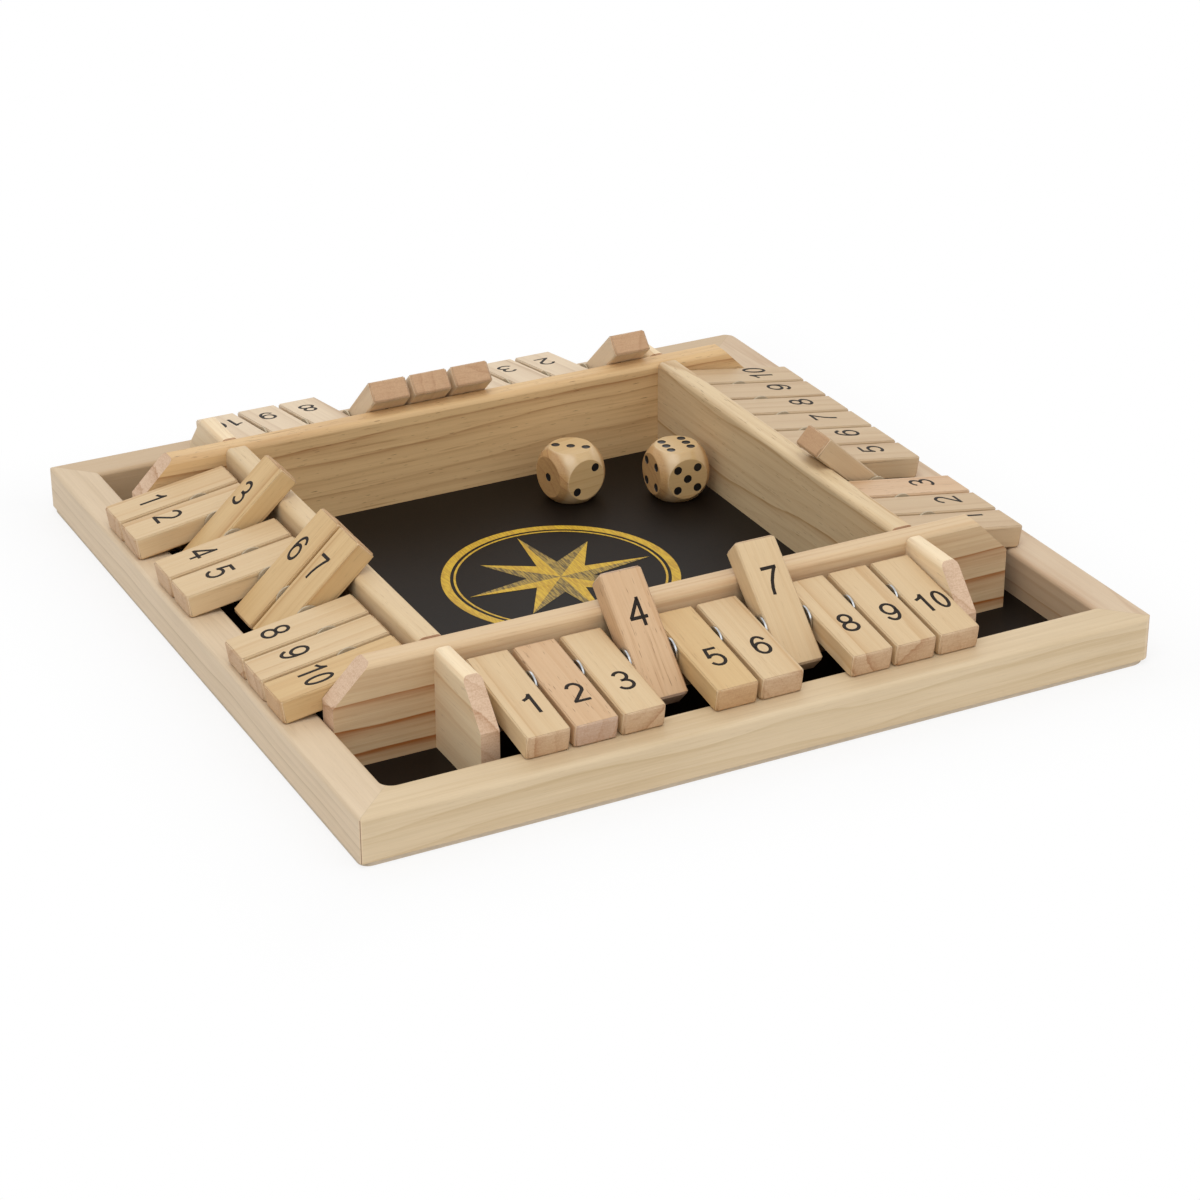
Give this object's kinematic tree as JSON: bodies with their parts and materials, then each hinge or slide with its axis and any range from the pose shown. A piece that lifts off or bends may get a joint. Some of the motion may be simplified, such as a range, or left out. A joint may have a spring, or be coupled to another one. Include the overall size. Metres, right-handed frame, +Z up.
{
  "type": "shut the box game",
  "caption": "Open wooden dice game: a square dice tray inside a low mitred frame, with a row of numbered tiles that flip over on a rod along every side, and loose dice.",
  "frame": {"origin": "middle of the base board's underside, on the table", "axes": "+X to the right and +Y to the back as the player at the front sees it, +Z up"},
  "size_m": [0.285, 0.285, 0.048],
  "materials": {
    "frame": "pale pine under thin satin varnish",
    "tray": "pale pine under thin satin varnish",
    "tile": "smooth pine with printed black numerals",
    "dice": "varnished pale wood with black pips",
    "board": "satin black film on thin board",
    "steel": "bright plain steel"
  },
  "bodies": {
    "board": {"base_board": "board", "frame_front": "frame", "frame_right": "frame", "frame_back": "frame", "frame_left": "frame", "tray_wall_front": "tray", "tray_wall_right": "tray", "tray_wall_back": "tray", "tray_wall_left": "tray", "bracket_front_left": "tray", "bracket_front_right": "tray", "bracket_back_left": "tray", "bracket_back_right": "tray", "rod_front": "steel", "rod_right": "steel", "rod_back": "steel", "rod_left": "steel", "washers": "steel"},
    "die_left": {"die_left": "dice"},
    "die_right": {"die_right": "dice"},
    "tile_front_1": {"tile_front_1": "tile"},
    "tile_front_2": {"tile_front_2": "tile"},
    "tile_front_3": {"tile_front_3": "tile"},
    "tile_front_4": {"tile_front_4": "tile"},
    "tile_front_5": {"tile_front_5": "tile"},
    "tile_front_6": {"tile_front_6": "tile"},
    "tile_front_7": {"tile_front_7": "tile"},
    "tile_front_8": {"tile_front_8": "tile"},
    "tile_front_9": {"tile_front_9": "tile"},
    "tile_front_10": {"tile_front_10": "tile"},
    "tile_right_1": {"tile_right_1": "tile"},
    "tile_right_2": {"tile_right_2": "tile"},
    "tile_right_3": {"tile_right_3": "tile"},
    "tile_right_4": {"tile_right_4": "tile"},
    "tile_right_5": {"tile_right_5": "tile"},
    "tile_right_6": {"tile_right_6": "tile"},
    "tile_right_7": {"tile_right_7": "tile"},
    "tile_right_8": {"tile_right_8": "tile"},
    "tile_right_9": {"tile_right_9": "tile"},
    "tile_right_10": {"tile_right_10": "tile"},
    "tile_back_1": {"tile_back_1": "tile"},
    "tile_back_2": {"tile_back_2": "tile"},
    "tile_back_3": {"tile_back_3": "tile"},
    "tile_back_4": {"tile_back_4": "tile"},
    "tile_back_5": {"tile_back_5": "tile"},
    "tile_back_6": {"tile_back_6": "tile"},
    "tile_back_7": {"tile_back_7": "tile"},
    "tile_back_8": {"tile_back_8": "tile"},
    "tile_back_9": {"tile_back_9": "tile"},
    "tile_back_10": {"tile_back_10": "tile"},
    "tile_left_1": {"tile_left_1": "tile"},
    "tile_left_2": {"tile_left_2": "tile"},
    "tile_left_3": {"tile_left_3": "tile"},
    "tile_left_4": {"tile_left_4": "tile"},
    "tile_left_5": {"tile_left_5": "tile"},
    "tile_left_6": {"tile_left_6": "tile"},
    "tile_left_7": {"tile_left_7": "tile"},
    "tile_left_8": {"tile_left_8": "tile"},
    "tile_left_9": {"tile_left_9": "tile"},
    "tile_left_10": {"tile_left_10": "tile"}
  },
  "joints": [
    {"name": "die_left_lift", "type": "slide", "parent": "board", "child": "die_left", "axis": [0, 0, 1], "range_m": [0, 0.08]},
    {"name": "die_right_lift", "type": "slide", "parent": "board", "child": "die_right", "axis": [0, 0, 1], "range_m": [0, 0.08]},
    {"name": "tile_front_1_flip", "type": "hinge", "parent": "board", "child": "tile_front_1", "pos_m": [-0.07646, -0.10528, 0.0255], "axis": [-1, 0, 0], "range_deg": [0, 146.31]},
    {"name": "tile_front_2_flip", "type": "hinge", "parent": "board", "child": "tile_front_2", "pos_m": [-0.06006, -0.10528, 0.0255], "axis": [-1, 0, 0], "range_deg": [0, 146.31]},
    {"name": "tile_front_3_flip", "type": "hinge", "parent": "board", "child": "tile_front_3", "pos_m": [-0.04366, -0.10528, 0.0255], "axis": [-1, 0, 0], "range_deg": [0, 146.31]},
    {"name": "tile_front_4_flip", "type": "hinge", "parent": "board", "child": "tile_front_4", "pos_m": [-0.02726, -0.10528, 0.0255], "axis": [-1, 0, 0], "range_deg": [-146.31, 0]},
    {"name": "tile_front_5_flip", "type": "hinge", "parent": "board", "child": "tile_front_5", "pos_m": [-0.01086, -0.10528, 0.0255], "axis": [-1, 0, 0], "range_deg": [0, 146.31]},
    {"name": "tile_front_6_flip", "type": "hinge", "parent": "board", "child": "tile_front_6", "pos_m": [0.00554, -0.10528, 0.0255], "axis": [-1, 0, 0], "range_deg": [0, 146.31]},
    {"name": "tile_front_7_flip", "type": "hinge", "parent": "board", "child": "tile_front_7", "pos_m": [0.02194, -0.10528, 0.0255], "axis": [-1, 0, 0], "range_deg": [-146.31, 0]},
    {"name": "tile_front_8_flip", "type": "hinge", "parent": "board", "child": "tile_front_8", "pos_m": [0.03834, -0.10528, 0.0255], "axis": [-1, 0, 0], "range_deg": [0, 146.31]},
    {"name": "tile_front_9_flip", "type": "hinge", "parent": "board", "child": "tile_front_9", "pos_m": [0.05474, -0.10528, 0.0255], "axis": [-1, 0, 0], "range_deg": [0, 146.31]},
    {"name": "tile_front_10_flip", "type": "hinge", "parent": "board", "child": "tile_front_10", "pos_m": [0.07114, -0.10528, 0.0255], "axis": [-1, 0, 0], "range_deg": [0, 146.31]},
    {"name": "tile_right_1_flip", "type": "hinge", "parent": "board", "child": "tile_right_1", "pos_m": [0.10423, -0.07057, 0.0255], "axis": [0, -1, 0], "range_deg": [0, 146.31]},
    {"name": "tile_right_2_flip", "type": "hinge", "parent": "board", "child": "tile_right_2", "pos_m": [0.10423, -0.05417, 0.0255], "axis": [0, -1, 0], "range_deg": [0, 146.31]},
    {"name": "tile_right_3_flip", "type": "hinge", "parent": "board", "child": "tile_right_3", "pos_m": [0.10423, -0.03777, 0.0255], "axis": [0, -1, 0], "range_deg": [0, 146.31]},
    {"name": "tile_right_4_flip", "type": "hinge", "parent": "board", "child": "tile_right_4", "pos_m": [0.10423, -0.02137, 0.0255], "axis": [0, -1, 0], "range_deg": [-146.31, 0]},
    {"name": "tile_right_5_flip", "type": "hinge", "parent": "board", "child": "tile_right_5", "pos_m": [0.10423, -0.00497, 0.0255], "axis": [0, -1, 0], "range_deg": [0, 146.31]},
    {"name": "tile_right_6_flip", "type": "hinge", "parent": "board", "child": "tile_right_6", "pos_m": [0.10423, 0.01143, 0.0255], "axis": [0, -1, 0], "range_deg": [0, 146.31]},
    {"name": "tile_right_7_flip", "type": "hinge", "parent": "board", "child": "tile_right_7", "pos_m": [0.10423, 0.02783, 0.0255], "axis": [0, -1, 0], "range_deg": [0, 146.31]},
    {"name": "tile_right_8_flip", "type": "hinge", "parent": "board", "child": "tile_right_8", "pos_m": [0.10423, 0.04423, 0.0255], "axis": [0, -1, 0], "range_deg": [0, 146.31]},
    {"name": "tile_right_9_flip", "type": "hinge", "parent": "board", "child": "tile_right_9", "pos_m": [0.10423, 0.06063, 0.0255], "axis": [0, -1, 0], "range_deg": [0, 146.31]},
    {"name": "tile_right_10_flip", "type": "hinge", "parent": "board", "child": "tile_right_10", "pos_m": [0.10423, 0.07703, 0.0255], "axis": [0, -1, 0], "range_deg": [0, 146.31]},
    {"name": "tile_back_1_flip", "type": "hinge", "parent": "board", "child": "tile_back_1", "pos_m": [0.06886, 0.11078, 0.0255], "axis": [1, 0, 0], "range_deg": [-146.31, 0]},
    {"name": "tile_back_2_flip", "type": "hinge", "parent": "board", "child": "tile_back_2", "pos_m": [0.05246, 0.11078, 0.0255], "axis": [1, 0, 0], "range_deg": [0, 146.31]},
    {"name": "tile_back_3_flip", "type": "hinge", "parent": "board", "child": "tile_back_3", "pos_m": [0.03606, 0.11078, 0.0255], "axis": [1, 0, 0], "range_deg": [0, 146.31]},
    {"name": "tile_back_4_flip", "type": "hinge", "parent": "board", "child": "tile_back_4", "pos_m": [0.01966, 0.11078, 0.0255], "axis": [1, 0, 0], "range_deg": [0, 146.31]},
    {"name": "tile_back_5_flip", "type": "hinge", "parent": "board", "child": "tile_back_5", "pos_m": [0.00326, 0.11078, 0.0255], "axis": [1, 0, 0], "range_deg": [-146.31, 0]},
    {"name": "tile_back_6_flip", "type": "hinge", "parent": "board", "child": "tile_back_6", "pos_m": [-0.01314, 0.11078, 0.0255], "axis": [1, 0, 0], "range_deg": [-146.31, 0]},
    {"name": "tile_back_7_flip", "type": "hinge", "parent": "board", "child": "tile_back_7", "pos_m": [-0.02954, 0.11078, 0.0255], "axis": [1, 0, 0], "range_deg": [-146.31, 0]},
    {"name": "tile_back_8_flip", "type": "hinge", "parent": "board", "child": "tile_back_8", "pos_m": [-0.04594, 0.11078, 0.0255], "axis": [1, 0, 0], "range_deg": [0, 146.31]},
    {"name": "tile_back_9_flip", "type": "hinge", "parent": "board", "child": "tile_back_9", "pos_m": [-0.06234, 0.11078, 0.0255], "axis": [1, 0, 0], "range_deg": [0, 146.31]},
    {"name": "tile_back_10_flip", "type": "hinge", "parent": "board", "child": "tile_back_10", "pos_m": [-0.07874, 0.11078, 0.0255], "axis": [1, 0, 0], "range_deg": [0, 146.31]},
    {"name": "tile_left_1_flip", "type": "hinge", "parent": "board", "child": "tile_left_1", "pos_m": [-0.11183, 0.07559, 0.0255], "axis": [0, 1, 0], "range_deg": [0, 146.31]},
    {"name": "tile_left_2_flip", "type": "hinge", "parent": "board", "child": "tile_left_2", "pos_m": [-0.11183, 0.05919, 0.0255], "axis": [0, 1, 0], "range_deg": [0, 146.31]},
    {"name": "tile_left_3_flip", "type": "hinge", "parent": "board", "child": "tile_left_3", "pos_m": [-0.11183, 0.04279, 0.0255], "axis": [0, 1, 0], "range_deg": [-146.31, 0]},
    {"name": "tile_left_4_flip", "type": "hinge", "parent": "board", "child": "tile_left_4", "pos_m": [-0.11183, 0.02639, 0.0255], "axis": [0, 1, 0], "range_deg": [0, 146.31]},
    {"name": "tile_left_5_flip", "type": "hinge", "parent": "board", "child": "tile_left_5", "pos_m": [-0.11183, 0.00999, 0.0255], "axis": [0, 1, 0], "range_deg": [0, 146.31]},
    {"name": "tile_left_6_flip", "type": "hinge", "parent": "board", "child": "tile_left_6", "pos_m": [-0.11183, -0.00641, 0.0255], "axis": [0, 1, 0], "range_deg": [-146.31, 0]},
    {"name": "tile_left_7_flip", "type": "hinge", "parent": "board", "child": "tile_left_7", "pos_m": [-0.11183, -0.02281, 0.0255], "axis": [0, 1, 0], "range_deg": [-146.31, 0]},
    {"name": "tile_left_8_flip", "type": "hinge", "parent": "board", "child": "tile_left_8", "pos_m": [-0.11183, -0.03921, 0.0255], "axis": [0, 1, 0], "range_deg": [0, 146.31]},
    {"name": "tile_left_9_flip", "type": "hinge", "parent": "board", "child": "tile_left_9", "pos_m": [-0.11183, -0.05561, 0.0255], "axis": [0, 1, 0], "range_deg": [0, 146.31]},
    {"name": "tile_left_10_flip", "type": "hinge", "parent": "board", "child": "tile_left_10", "pos_m": [-0.11183, -0.07201, 0.0255], "axis": [0, 1, 0], "range_deg": [0, 146.31]}
  ]
}
